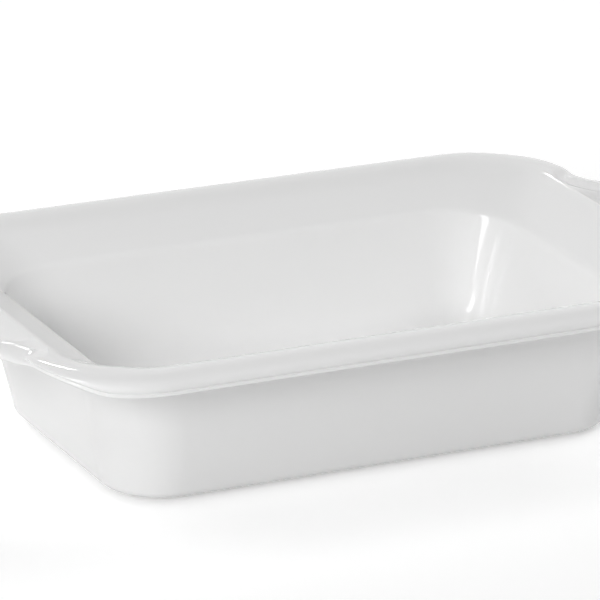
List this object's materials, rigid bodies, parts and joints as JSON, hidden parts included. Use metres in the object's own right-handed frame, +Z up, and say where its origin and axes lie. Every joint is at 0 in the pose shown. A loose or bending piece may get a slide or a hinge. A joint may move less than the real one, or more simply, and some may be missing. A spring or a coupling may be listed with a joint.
{
  "type": "tapas dish",
  "caption": "Small rectangular porcelain oven-to-table dish with a rolled rim, leaning walls, a hollowed ear on each short side and a bare foot ring.",
  "frame": {"origin": "on the table, under the middle of the dish", "axes": "+X along the dish from ear to ear, +Y across it, +Z up out of the mouth"},
  "size_m": [0.1994, 0.121, 0.0402],
  "materials": {
    "glaze": "gloss",
    "bisque": "matt, unglazed"
  },
  "bodies": {
    "root": {"dish_body": "glaze", "left_ear": "glaze", "right_ear": "glaze", "foot_ring": "bisque"}
  },
  "joints": []
}
